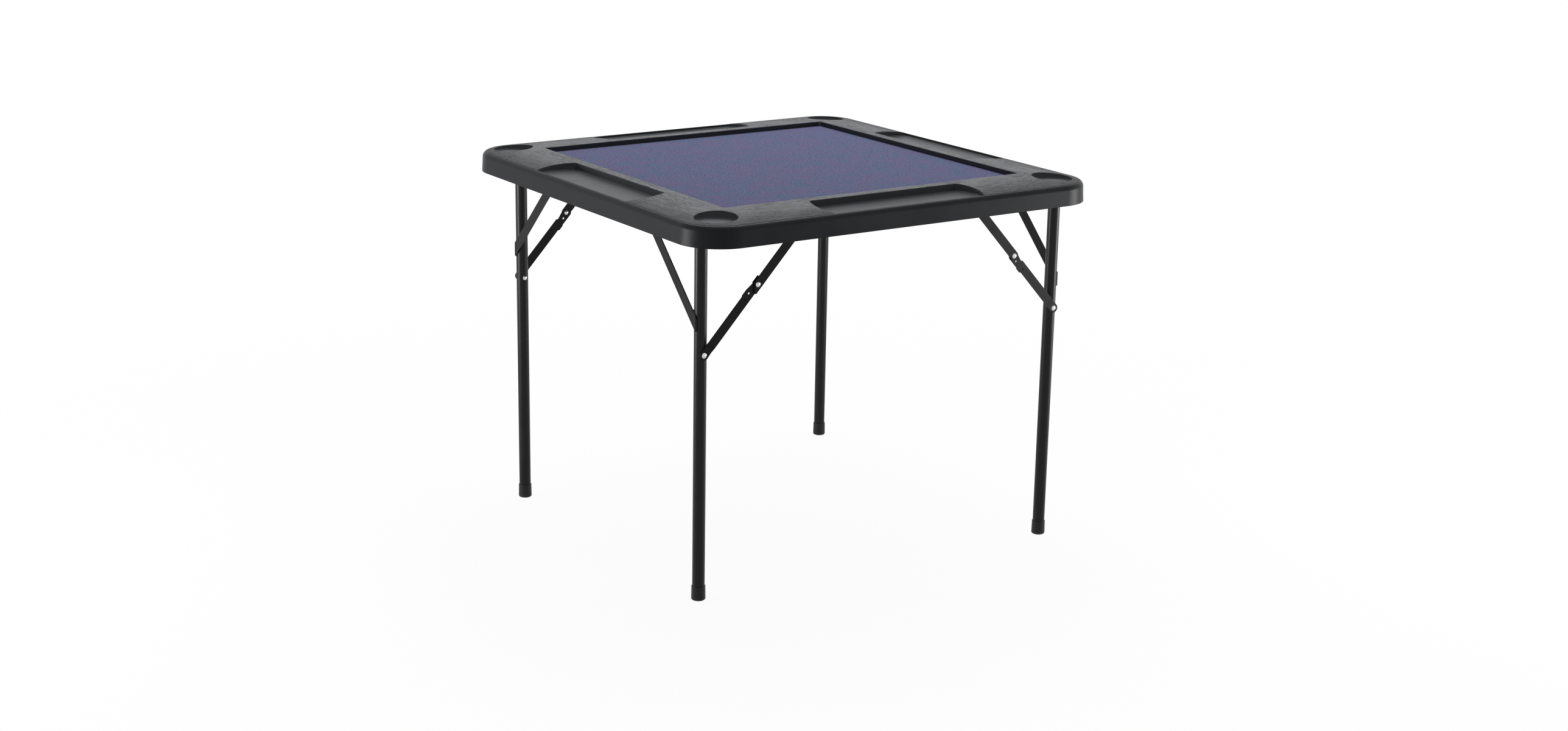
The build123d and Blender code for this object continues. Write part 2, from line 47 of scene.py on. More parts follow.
# The photograph's width in pixels, and the camera fitted to it
PHOTO_WIDTH = 2576
CAMERA_FOCAL = 3789.69  # pixels
CAMERA_PLACE = Vector((-2.44866, -3.65579, 1.53633))
CAMERA_HEADING = math.radians(34.087)  # from +Y toward +X
CAMERA_PITCH = math.radians(15.635)  # down
CAMERA_ROLL = math.radians(1.038)
SENSOR_WIDTH = 36.0  # millimetres
CLIP_NEAR, CLIP_FAR = 0.05, 200.0

# Sizes shared with the solids
CREST = 0.7166  # floor to the crest of the border
FIELD_HALF = 0.330
CORNER_CENTRE = 0.362  # where the border's corners turn
CROWN_RADIUS = 0.6914
FELT_TOP = 0.707
FELT_HALF = 0.3295
FELT_THICKNESS = 0.0012
FELT_CORNER = 0.004
CUP_CENTRE = 0.375
CUP_RADIUS = 0.0396
RAIL_FACE = 0.694  # lower face of the rails' webs, flush with the screw heads
RAIL_MIDDLE = 0.37975
SCREW_PLACES = (0.1951, 0.2605, 0.3242)
FRAME_REACH = 0.380  # along x, from the middle to the legs' centre lines
TUBE_RADIUS = 0.0115
GUSSET_DROP = 0.161  # pivot to where a gusset's centre line meets the leg's
GUSSET_HALF = 0.01414  # half its height, measured up the leg
GUSSET_TAIL = 0.005  # how far its lower end passes the leg's centre line
GUSSET_RISE = 0.006  # how far its upper end rises above the pivot

# Each leg frame's side, how far its legs stand from the middle along y, and its pivots' height
LEG_FRAMES = {"left_leg_frame": (-1, 0.3355, 0.682), "right_leg_frame": (1, 0.380, 0.679)}

# Marks on the moulded border: metres below the crown's surface, or out from the field.
# A pair tells where a mark is absent and where it is full.
GRAIN_BELOW = (0.0011, 0.0004)
GROOVE_BELOW = 0.00075
GROOVE_WIDTH = (0.00045, 0.0001)
GROOVE_OUT = (0.07, 0.08)
SHEEN_FADE_OUT = 0.034  # from here on, the crown's painted sheen fades and the grain grows darker: painted shade toward the shoulder
SHOULDER_OUT = 0.101
POCKET_HEIGHT = 0.7  # above the floor: trays and cup holders, but not the apron
CUP_SPAN = 0.05  # cup holders reach less far than this toward the middle

# The felt's small unevenness
FELT_CELLS = 110
FELT_SINK = 0.00006
FELT_SWELL = 0.00004
LONG_WAVES = ((71, 1.3), (63, 0.4))  # radians per metre and start, along x and along y
CROSS_WAVES = (163, 149)  # radians per metre
CROSS_SHARE = 0.5

# Beads and lips
LIP_RADIUS = 0.0010
LIP_SHIFT = 0.0002  # toward the middle of the cup holder
LIP_STEPS = 120
SADDLE_STEPS = 48
BEAD_LIFT = 0.0008  # off the tube, where a bead lies across a gusset's end
EDGE_BEAD = range(-4, 7)  # millimetres inward from the leg's centre line
TAIL_BEAD = range(-8, 9)  # tenths of a gusset's half height
HEAD_BEAD = range(-9, 10)  # tenths of a gusset's half height

# Edges sharper than these stay sharp
SHARP_EDGE = math.radians(35)
SHARP_BEAD_EDGE = math.radians(60)
SHARP_BORDER_EDGE = math.radians(30)
SEAM_GAP = 0.000002

# Looks
BEVEL_SAMPLES = 4
NOISE_MIDDLE = 0.5
TUBE_GLOSS = 0.2
STRIP_GLOSS = 0.12
WHITE = (1.0, 1.0, 1.0, 1.0)
MIX_SOCKETS = {"FLOAT": ("i2", "i3", 0), "VECTOR": ("i4", "i5", 1), "RGBA": ("i6", "i7", 2)}

# Floor and light
FLOOR_REACH = 30.0
FLOOR_GREY = (0.92, 0.92, 0.92, 1.0)
SHADOW_NEAR, SHADOW_FAR = 0.7, 2.2  # from the middle: the floor grows white between these
WHITE_NEAR, WHITE_FAR = 0.95, 1.0
SKY_LIGHT = 0.2
LEGS_MIDDLE = (0, 0, 0.4)
TABLE_MIDDLE = (0, 0, 0.45)


class Wiring:
    """Nodes and links of one tree, wired by passing a socket where a number could stand.

    An inlet goes by its name, with _ for a space, or by its number, as i0.
    """

    def __init__(self, tree):
        self.tree = tree

    def node(self, kind, outlet=0, settings=None, **inlets):
        """One outlet of a new node, or the node itself where the outlet is None."""
        made = self.tree.nodes.new(kind)
        for name, value in (settings or {}).items():
            setattr(made, name, value)
        for name, value in inlets.items():
            self.feed(made, name, value)
        return made if outlet is None else made.outputs[outlet]

    def feed(self, node, name, value):
        numbered = name[0] == "i" and name[1:].isdigit()
        socket = node.inputs[int(name[1:]) if numbered else name.replace("_", " ")]
        if isinstance(value, bpy.types.NodeSocket):
            self.tree.links.new(value, socket)
        else:
            socket.default_value = value

    def calc(self, operation, first, second=0.0):
        return self.node("ShaderNodeMath", settings={"operation": operation}, i0=first, i1=second)

    def plus(self, first, second):
        return self.calc("ADD", first, second)

    def minus(self, first, second):
        return self.calc("SUBTRACT", first, second)

    def times(self, first, second):
        return self.calc("MULTIPLY", first, second)

    def absolute(self, value):
        return self.calc("ABSOLUTE", value)


class Finish(Wiring):
    """A material on object coordinates, with its shader's plain values set on the sockets."""

    def __init__(self, name, **values):
        self.material = bpy.data.materials.new(name)
        self.material.use_nodes = True
        super().__init__(self.material.node_tree)
        self.shader = self.tree.nodes["Principled BSDF"]
        self.place = self.node("ShaderNodeTexCoord", "Object")
        self.set(**values)

    def set(self, **values):
        for name, value in values.items():
            self.feed(self.shader, name, value)

    def noise(self, scale, detail, roughness=0.5, distortion=0.0, vector=None, outlet="Fac"):
        return self.node(
            "ShaderNodeTexNoise",
            outlet,
            Vector=self.place if vector is None else vector,
            Scale=scale,
            Detail=detail,
            Roughness=roughness,
            Distortion=distortion,
        )

    def span(self, value, low, high, new_low=0.0, new_high=1.0):
        """A soft step of the value, from one number to another."""
        return self.node(
            "ShaderNodeMapRange",
            settings={"interpolation_type": "SMOOTHSTEP"},
            Value=value,
            From_Min=low,
            From_Max=high,
            To_Min=new_low,
            To_Max=new_high,
        )

    def mix(self, share, first, second, kind="RGBA"):
        """A mix of two colours, or of two numbers or vectors."""

        def whole(value):
            return (*value, 1.0) if isinstance(value, tuple) else value

        first_inlet, second_inlet, outlet = MIX_SOCKETS[kind]
        ends = {first_inlet: whole(first), second_inlet: whole(second)}
        return self.node("ShaderNodeMix", outlet, settings={"data_type": kind}, i0=share, **ends)

    def rounded(self, radius):
        """Normals of edges that look rounded."""
        return self.node("ShaderNodeBevel", settings={"samples": BEVEL_SAMPLES}, Radius=radius)

    def bump(self, height, distance, strength=1.0, **under):
        """Relief of this height, over other normals where they are given."""
        return self.node(
            "ShaderNodeBump", Height=height, Distance=distance, Strength=strength, **under
        )


class BorderFinish(Finish):
    """The moulding's material, which knows where on the border a point lies."""

    def __init__(self, name, **values):
        super().__init__(name, **values)
        split = self.node("ShaderNodeSeparateXYZ", None, Vector=self.place)
        self.x, self.y, self.z = split.outputs
        self.across_x, self.across_y = self.absolute(self.x), self.absolute(self.y)
        # How far out from the field, and how far below the crown's surface there
        past_x = self.calc("MAXIMUM", self.minus(self.across_x, CORNER_CENTRE), 0.0)
        past_y = self.calc("MAXIMUM", self.minus(self.across_y, CORNER_CENTRE), 0.0)
        squares = self.plus(self.times(past_x, past_x), self.times(past_y, past_y))
        past = self.calc("SQRT", squares)
        widest = self.calc("MAXIMUM", self.across_x, self.across_y)
        before = self.calc("MINIMUM", self.minus(widest, CORNER_CENTRE), 0.0)
        self.out = self.plus(self.plus(past, before), CORNER_CENTRE - FIELD_HALF)
        fall = self.calc("DIVIDE", self.times(self.out, self.out), 2 * CROWN_RADIUS)
        self.below = self.minus(self.minus(CREST, fall), self.z)

    def wood_grain(self):
        """Depth of creases that run along each side, wander and close on themselves."""
        # Each side has its own grain, which meets its neighbour's at the mitre
        front_or_rear = self.calc("GREATER_THAN", self.across_y, self.across_x)
        along = self.mix(front_or_rear, self.y, self.x, "FLOAT")
        aside = self.mix(front_or_rear, self.x, self.y, "FLOAT")
        straight = self.node("ShaderNodeCombineXYZ", X=aside, Y=along, Z=front_or_rear)
        drift = self.noise(scale=9.0, detail=2.0, vector=straight, outlet="Color")
        wandering = self.mix(0.03, straight, drift, "VECTOR")

        def land_between(squeeze, width, **grain):
            """Zero on winding lines, one beside them."""
            drawn = self.node("ShaderNodeMapping", Vector=wandering, Scale=(1.0, squeeze, 1.0))
            lines = self.noise(detail=3.0, vector=drawn, **grain)
            return self.span(self.absolute(self.minus(lines, NOISE_MIDDLE)), 0.0, width)

        creases = land_between(0.13, 0.055, scale=105.0, roughness=0.5, distortion=0.4)
        fissures = land_between(0.15, 0.07, scale=260.0, roughness=0.55, distortion=0.5)
        land = self.plus(self.times(creases, 0.6), self.times(fissures, 0.4))
        patches = self.noise(scale=14.0, detail=3.0)
        deepness = self.span(patches, 0.35, 0.65, new_low=0.5, new_high=1.0)
        return self.times(self.minus(1.0, land), deepness)

    def groove(self):
        """A fine groove around the grained crown, where the smooth shoulder begins."""
        off_middle = self.absolute(self.minus(self.below, GROOVE_BELOW))
        return self.times(self.span(off_middle, *GROOVE_WIDTH), self.span(self.out, *GROOVE_OUT))

    def pockets(self):
        """Where trays and cup holders lie, and which of these are cup holders."""
        inside = self.calc("LESS_THAN", self.out, SHOULDER_OUT)
        pocket = self.times(inside, self.calc("GREATER_THAN", self.z, POCKET_HEIGHT))
        nearest = self.calc("MINIMUM", self.across_x, self.across_y)
        return pocket, self.calc("LESS_THAN", self.minus(CUP_CENTRE, nearest), CUP_SPAN)


# Finishes
def moulded_plastic():
    """Grey-black moulding: embossed grain along each side of its upper face, smooth elsewhere."""
    dark_apron, light_apron = (0.0078, 0.0089, 0.0108), (0.0106, 0.0119, 0.0143)
    # Pocket tones: painted light in the trays and cup holders
    tray_painted_light, cup_painted_light = (0.040, 0.0425, 0.047), (0.125, 0.1300, 0.139)
    # The crown is painted far lighter than the apron: painted sheen of glancing light on the grain
    dark_sheen_crown, light_sheen_crown = (0.120, 0.1250, 0.136), (0.150, 0.1560, 0.166)
    unsheened_crown, crease_shade = (0.010, 0.0112, 0.0134), (0.008, 0.0086, 0.0098)
    groove_shade = (0.004, 0.004, 0.0045)
    skin = BorderFinish("moulded_plastic", Specular_IOR_Level=0.12)
    textured = skin.span(skin.below, *GRAIN_BELOW)
    creases = skin.wood_grain()
    half_groove = skin.times(skin.groove(), 0.5)

    pimples = skin.times(skin.noise(scale=1500.0, detail=3.0, roughness=0.6), 0.022)
    cut = skin.plus(skin.times(creases, textured), half_groove)
    relief = skin.minus(pimples, cut)
    skin.set(Normal=skin.bump(relief, distance=0.0014, Normal=skin.rounded(0.0012)))

    cloud = skin.noise(scale=9.0, detail=3.0)
    scratches = skin.noise(scale=70.0, detail=5.0, roughness=0.65, distortion=0.6)
    scuffs = skin.times(skin.span(scratches, 0.62, 0.74), 0.06)
    rough = skin.plus(skin.span(cloud, 0.3, 0.7, new_low=0.34, new_high=0.40), scuffs)
    skin.set(Roughness=skin.plus(rough, skin.times(textured, 0.1)))

    # Trays and cup holders are painted much lighter than the apron: painted light in the pockets
    uneven = skin.span(cloud, 0.35, 0.65)
    pocket, cup = skin.pockets()
    apron = skin.mix(uneven, dark_apron, light_apron)
    smooth = skin.mix(pocket, apron, skin.mix(cup, tray_painted_light, cup_painted_light))
    # The crown's painted sheen fades toward the shoulder: painted shade there
    sheen_fade = skin.span(skin.out, SHEEN_FADE_OUT, SHOULDER_OUT, new_low=0.0, new_high=0.94)
    crown = skin.mix(sheen_fade, skin.mix(uneven, dark_sheen_crown, light_sheen_crown), unsheened_crown)
    # The grain's creases are painted darker: painted shade in the creases
    crown = skin.mix(skin.times(creases, 0.9), crown, crease_shade)
    tone = skin.mix(textured, smooth, crown)
    # The groove is painted darker: painted shade in the groove
    skin.set(Base_Color=skin.mix(half_groove, tone, groove_shade))
    return skin.material


def felt_cloth_finish():
    """Blue-purple felt: soft blotches, matted fibres and a dusty sheen."""
    purple, blue, cloud_purple = (0.121, 0.100, 0.232), (0.072, 0.119, 0.232), (0.123, 0.102, 0.230)
    shade, fluff = (0.045, 0.05, 0.10), (0.38, 0.40, 0.52)
    felt = Finish(
        "blue_felt",
        Roughness=0.95,
        Specular_IOR_Level=0.1,
        Sheen_Weight=0.12,
        Sheen_Roughness=0.5,
        Sheen_Tint=(0.6, 0.62, 0.8, 1.0),
    )
    blotches = felt.noise(scale=24.0, detail=5.0, roughness=0.62, distortion=0.4)
    colour = felt.mix(felt.span(blotches, 0.40, 0.60), purple, blue)
    clouds = felt.span(felt.noise(scale=7.0, detail=3.0), 0.36, 0.64)
    colour = felt.mix(felt.times(clouds, 0.4), colour, cloud_purple)
    fibres = felt.noise(scale=620.0, detail=3.0, roughness=0.7, distortion=1.0)
    specks = felt.noise(scale=270.0, detail=3.0, roughness=0.65)
    matted = felt.plus(felt.times(fibres, 0.5), felt.times(specks, 0.5))
    dark, light = felt.mix(0.42, colour, shade), felt.mix(0.24, colour, fluff)
    felt.set(Base_Color=felt.mix(felt.span(matted, 0.40, 0.60), dark, light))
    felt.set(Normal=felt.bump(matted, distance=0.0011, strength=0.8))
    return felt.material


def painted_steel(name, gloss):
    """Black powder coat: orange peel, a little dust, thin and bright along the edges."""
    clean, dusty = (0.0032, 0.0032, 0.0033), (0.0065, 0.0065, 0.0066)
    paint = Finish(name, Specular_IOR_Level=gloss)
    peel = paint.noise(scale=650.0, detail=2.0)
    edges = paint.rounded(0.0006)
    paint.set(Normal=paint.bump(peel, distance=0.00010, strength=0.5, Normal=edges))
    dust = paint.noise(scale=40.0, detail=5.0, roughness=0.7)
    paint.set(Roughness=paint.span(dust, 0.3, 0.7, new_low=0.29, new_high=0.36))
    paint.set(Base_Color=paint.mix(paint.span(dust, 0.45, 0.8), clean, dusty))
    return paint.material


def bright_zinc():
    """Zinc plate of rivets and screws: a slight haze and fine marks."""
    bright, dull = (0.66, 0.66, 0.67), (0.50, 0.50, 0.51)
    zinc = Finish("bright_zinc", Metallic=1.0)
    haze = zinc.noise(scale=600.0, detail=4.0, roughness=0.6)
    zinc.set(Roughness=zinc.span(haze, 0.3, 0.7, new_low=0.16, new_high=0.32))
    zinc.set(Base_Color=zinc.mix(zinc.span(haze, 0.35, 0.7), bright, dull))
    marks = zinc.noise(scale=2500.0, detail=2.0)
    zinc.set(Normal=zinc.bump(marks, distance=0.00004, strength=0.5))
    return zinc.material


def cap_plastic():
    """Black moulded foot caps, scuffed toward the floor."""
    clean, scuffed = (0.0065, 0.0065, 0.0068), (0.040, 0.039, 0.038)
    cap = Finish("cap_plastic", Specular_IOR_Level=0.22)
    height = cap.node("ShaderNodeSeparateXYZ", "Z", Vector=cap.place)
    scuffs = cap.noise(scale=380.0, detail=5.0, roughness=0.7, distortion=0.5)
    worn = cap.times(cap.span(height, 0.009, 0.001), cap.span(scuffs, 0.45, 0.62))
    cap.set(Base_Color=cap.mix(worn, clean, scuffed))
    cap.set(Roughness=cap.plus(cap.times(worn, 0.25), 0.42))
    pimples = cap.noise(scale=1400.0, detail=3.0)
    cap.set(Normal=cap.bump(pimples, distance=0.00008, strength=0.6))
    return cap.material


def hardboard():
    """Brown hardboard under the felt, with its screen pattern and fibres."""
    dark, light, stain = (0.125, 0.072, 0.040), (0.25, 0.155, 0.088), (0.17, 0.10, 0.058)
    board = Finish("hardboard", Roughness=0.75, Specular_IOR_Level=0.25)
    flecks = board.noise(scale=420.0, detail=5.0, roughness=0.75, distortion=1.5)
    colour = board.mix(board.span(flecks, 0.35, 0.68), dark, light)
    patches = board.noise(scale=12.0, detail=3.0)
    board.set(Base_Color=board.mix(board.times(patches, 0.35), colour, stain))
    screen = board.node("ShaderNodeTexVoronoi", "Distance", Vector=board.place, Scale=620.0)
    board.set(Normal=board.bump(screen, distance=0.0003, strength=0.6))
    return board.material


def coat_solids(finishes, strip_paint):
    """Each solid's finish by its slot. Flat steel strips are duller than the tubes."""
    for row in frame["record"]["subparts"]:
        solid = frame["nodes"][row["node"]]
        is_strip = "gusset" in row["node"] or row["node"].endswith("_brace")
        solid.data.materials.clear()
        solid.data.materials.append(strip_paint if is_strip else finishes[row["material_slot"]])


def mesh_piece(name, mesh, material, body):
    """A finished mesh as a piece that rides a body."""
    mesh.name = name
    mesh.materials.clear()
    mesh.materials.append(material)
    piece = bpy.data.objects.new(name, mesh)
    bpy.context.scene.collection.objects.link(piece)
    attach(piece, body)
    return piece


def shade_smooth(mesh, limit=SHARP_EDGE):
    """Smooth faces, with edges sharper than the limit kept sharp."""
    for face in mesh.polygons:
        face.use_smooth = True
    mesh.set_sharp_from_angle(angle=limit)


def even_normals(mesh, limit):
    """Smooth shading in which large faces stay flat, and edges sharper than the limit sharp."""
    meeting = [[] for _ in mesh.vertices]
    for face in mesh.polygons:
        face.use_smooth = True
        for point in face.vertices:
            meeting[point].append(face)
    least = math.cos(limit)
    normals = []
    for face in mesh.polygons:
        for point in face.vertices:
            near = [other for other in meeting[point] if face.normal.dot(other.normal) > least]
            total = sum((other.normal * other.area for other in near), Vector())
            normals.append(total.normalized())
    mesh.normals_split_custom_set(normals)


class Pattern(Wiring):
    """Geometry nodes with named sizes, that grow a mesh from marked points or lines."""

    def __init__(self, name, **sizes):
        super().__init__(bpy.data.node_groups.new(name, "GeometryNodeTree"))
        faces = self.tree.interface
        faces.new_socket("Geometry", in_out="INPUT", socket_type="NodeSocketGeometry")
        faces.new_socket("Geometry", in_out="OUTPUT", socket_type="NodeSocketGeometry")
        self.sizes = {}
        for label, value in sizes.items():
            kind = "NodeSocketInt" if isinstance(value, int) else "NodeSocketFloat"
            inlet = faces.new_socket(label.replace("_", " "), in_out="INPUT", socket_type=kind)
            self.sizes[inlet.identifier] = value
        self.inlets = self.tree.nodes.new("NodeGroupInput").outputs
        self.marks = self.inlets["Geometry"]

    def size(self, label):
        return self.inlets[label]

    def close(self, shape, material):
        """Ends the tree with this shape in this material."""
        whole = self.node("GeometryNodeRealizeInstances", Geometry=shape)
        coated = self.node("GeometryNodeSetMaterial", Geometry=whole, Material=material)
        self.tree.links.new(coated, self.tree.nodes.new("NodeGroupOutput").inputs[0])

    def grow(self, points, edges=()):
        """The plain mesh that the tree makes from these points and edges."""
        marks = bpy.data.meshes.new(self.tree.name + "_marks")
        marks.from_pydata(points, edges, [])
        bench = bpy.data.objects.new(self.tree.name + "_bench", marks)
        bpy.context.scene.collection.objects.link(bench)
        growth = bench.modifiers.new("growth", "NODES")
        growth.node_group = self.tree
        for identifier, value in self.sizes.items():
            growth[identifier] = value
        view = bpy.context.evaluated_depsgraph_get()
        mesh = bpy.data.meshes.new_from_object(bench.evaluated_get(view), depsgraph=view)
        bench.modifiers.remove(growth)
        bpy.data.objects.remove(bench)
        return mesh


# Border and cup holders
def welded_border(material):
    """Copy of the moulding with its seams welded, which shades smoothly around the corners."""
    mesh = frame["nodes"]["moulded_border"].data.copy()
    net = bmesh.new()
    net.from_mesh(mesh)
    bmesh.ops.remove_doubles(net, verts=net.verts, dist=SEAM_GAP)
    net.to_mesh(mesh)
    net.free()
    even_normals(mesh, SHARP_BORDER_EDGE)
    border = mesh_piece("welded_border", mesh, material, "top")
    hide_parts("moulded_border")


def crown_height(x, y):
    """Height of the border's upper face."""
    across_x, across_y = abs(x), abs(y)
    past = math.hypot(max(across_x - CORNER_CENTRE, 0.0), max(across_y - CORNER_CENTRE, 0.0))
    before = min(max(across_x, across_y) - CORNER_CENTRE, 0.0)
    out = past + before + CORNER_CENTRE - FIELD_HALF
    return CREST - out**2 / (2 * CROWN_RADIUS)


def cup_rims(material):
    """Rounded lips of the four cup holders, which follow the crown's slope."""
    lips = Pattern("cup_rims", Lip_radius=LIP_RADIUS, Lip_sides=16)
    path = lips.node("GeometryNodeMeshToCurve", Mesh=lips.marks)
    ring = lips.node(
        "GeometryNodeCurvePrimitiveCircle",
        "Curve",
        Resolution=lips.size("Lip sides"),
        Radius=lips.size("Lip radius"),
    )
    lips.close(lips.node("GeometryNodeCurveToMesh", Curve=path, Profile_Curve=ring), material)
    points, edges = [], []
    for centre_x in (-CUP_CENTRE, CUP_CENTRE):
        for centre_y in (-CUP_CENTRE, CUP_CENTRE):
            first = len(points)
            for step in range(LIP_STEPS):
                turn = math.tau * step / LIP_STEPS
                x = centre_x + (CUP_RADIUS - LIP_SHIFT) * math.cos(turn)
                y = centre_y + (CUP_RADIUS - LIP_SHIFT) * math.sin(turn)
                points.append((x, y, crown_height(x, y) - LIP_RADIUS))
                edges.append((first + step, first + (step + 1) % LIP_STEPS))
    mesh = lips.grow(points, edges)
    shade_smooth(mesh)
    mesh_piece("cup_rims", mesh, material, "top")


# Playing surface
def felt_sheet(material):
    """Sheet of felt, a little uneven where its fibres are matted, with rounded corners."""
    net = bmesh.new()
    bmesh.ops.create_grid(net, x_segments=FELT_CELLS, y_segments=FELT_CELLS, size=FELT_HALF)
    straight = FELT_HALF - FELT_CORNER
    (x_waves, x_start), (y_waves, y_start) = LONG_WAVES
    x_cross, y_cross = CROSS_WAVES
    for point in net.verts:
        x, y = point.co.x, point.co.y
        past = Vector((max(abs(x) - straight, 0), max(abs(y) - straight, 0)))
        if past.x > 0 and past.y > 0:
            turned = past.normalized() * FELT_CORNER
            x = math.copysign(straight + turned.x, x)
            y = math.copysign(straight + turned.y, y)
        swell = math.sin(x_waves * x + x_start) * math.sin(y_waves * y + y_start)
        swell += CROSS_SHARE * math.sin(x_cross * x - y_cross * y)
        point.co = Vector((x, y, FELT_TOP - FELT_SINK + FELT_SWELL * swell))
    mesh = bpy.data.meshes.new("felt_cloth")
    net.to_mesh(mesh)
    net.free()
    shade_smooth(mesh)
    felt = mesh_piece("felt_cloth", mesh, material, "top")
    body = felt.modifiers.new("thickness", "SOLIDIFY")
    body.thickness = FELT_THICKNESS
    body.offset = -1.0
    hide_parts("felt_surface")


# Rail screws
def screw_pattern(material):
    """Countersunk screws with a cross recess, heads down, one on each point."""
    screws = Pattern(
        "cross_head_screws",
        Head_radius=0.0039,
        Shank_radius=0.0021,
        Head_depth=0.0018,
        Shank_length=0.009,
        Point_length=0.003,
        Recess_width=0.0009,
        Recess_reach=0.0044,
        Recess_depth=0.0022,
        Round_sides=40,
    )

    def turned(lower, upper, depth, start):
        cone = screws.node(
            "GeometryNodeMeshCone",
            "Mesh",
            Vertices=screws.size("Round sides"),
            Radius_Bottom=lower,
            Radius_Top=upper,
            Depth=depth,
        )
        lift = screws.node("ShaderNodeCombineXYZ", Z=start)
        return screws.node("GeometryNodeTransform", Geometry=cone, Translation=lift)

    def cutting(operation):
        settings = {"operation": operation, "solver": "EXACT"}
        return screws.node("GeometryNodeMeshBoolean", None, settings=settings)

    head, shank = screws.size("Head radius"), screws.size("Shank radius")
    head_depth, shank_length = screws.size("Head depth"), screws.size("Shank length")
    point_start = screws.plus(head_depth, shank_length)
    joined = cutting("UNION")
    for part in (
        turned(head, shank, head_depth, 0.0),
        turned(shank, shank, shank_length, head_depth),
        turned(shank, 0.0, screws.size("Point length"), point_start),
    ):
        screws.tree.links.new(part, joined.inputs["Mesh 2"])
    screw = joined.outputs["Mesh"]
    width, reach = screws.size("Recess width"), screws.size("Recess reach")
    for x, y in ((width, reach), (reach, width)):
        room = screws.node("ShaderNodeCombineXYZ", X=x, Y=y, Z=screws.size("Recess depth"))
        slit = screws.node("GeometryNodeMeshCube", "Mesh", Size=room)
        cutter = cutting("DIFFERENCE")
        screws.tree.links.new(screw, cutter.inputs["Mesh 1"])
        screws.tree.links.new(slit, cutter.inputs["Mesh 2"])
        screw = cutter.outputs["Mesh"]
    angle = screws.node(
        "FunctionNodeRandomValue",
        1,
        settings={"data_type": "FLOAT"},
        i2=0.0,
        i3=math.pi / 2,
        Seed=7,
    )
    turn = screws.node("ShaderNodeCombineXYZ", Z=angle)
    row = screws.node(
        "GeometryNodeInstanceOnPoints", Points=screws.marks, Instance=screw, Rotation=turn
    )
    screws.close(row, material)
    return screws


def rail_screws(material):
    """The screws that hold both rails to the moulding, seen from below."""
    places = [
        (x * side, y, RAIL_FACE)
        for x in SCREW_PLACES
        for side in (-1, 1)
        for y in (-RAIL_MIDDLE, RAIL_MIDDLE)
    ]
    mesh = screw_pattern(material).grow(places)
    shade_smooth(mesh)
    screws = mesh_piece("cross_head_screws", mesh, material, "top")
    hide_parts("rail_screws")


# Welds
def weld_pattern(material):
    """Weld beads along lines, rippled where the melt was laid step by step."""
    beads = Pattern(
        "weld_beads",
        Bead_radius=0.0015,
        Step=0.0004,
        Ripple_pitch=0.0019,
        Ripple=0.16,
        Wander=0.0005,
        Wander_scale=260.0,
        Blunt_ends=6.0,
        Least_end=0.01,
        Bead_sides=12,
    )
    line = beads.node("GeometryNodeMeshToCurve", Mesh=beads.marks)
    steps = beads.node(
        "GeometryNodeResampleCurve",
        settings={"mode": "LENGTH"},
        Curve=line,
        Length=beads.size("Step"),
    )
    noise = beads.node(
        "ShaderNodeTexNoise",
        "Color",
        Vector=beads.node("GeometryNodeInputPosition"),
        Scale=beads.size("Wander scale"),
        Detail=2.0,
    )
    middle = (NOISE_MIDDLE, NOISE_MIDDLE, NOISE_MIDDLE)
    subtract, scale = {"operation": "SUBTRACT"}, {"operation": "SCALE"}
    drift = beads.node("ShaderNodeVectorMath", settings=subtract, i0=noise, i1=middle)
    drift = beads.node(
        "ShaderNodeVectorMath", settings=scale, i0=drift, Scale=beads.size("Wander")
    )
    path = beads.node("GeometryNodeSetPosition", Geometry=steps, Offset=drift)
    laid = beads.node("GeometryNodeSplineParameter", "Length")
    ripples = beads.calc("DIVIDE", laid, beads.size("Ripple pitch"))
    wave = beads.calc("SINE", beads.times(ripples, math.tau))
    swell = beads.plus(1.0, beads.times(wave, beads.size("Ripple")))
    # Each bead narrows to a round end
    share = beads.node("GeometryNodeSplineParameter", "Factor")
    off_middle = beads.absolute(beads.minus(beads.times(share, 2.0), 1.0))
    left = beads.minus(1.0, beads.calc("POWER", off_middle, beads.size("Blunt ends")))
    taper = beads.calc("SQRT", beads.calc("MAXIMUM", left, beads.size("Least end")))
    width = beads.times(beads.times(beads.size("Bead radius"), swell), taper)
    ring = beads.node(
        "GeometryNodeCurvePrimitiveCircle",
        "Curve",
        Resolution=beads.size("Bead sides"),
        Radius=1.0,
    )
    bead = beads.node(
        "GeometryNodeCurveToMesh", Curve=path, Profile_Curve=ring, Scale=width, Fill_Caps=True
    )
    beads.close(bead, material)
    return beads


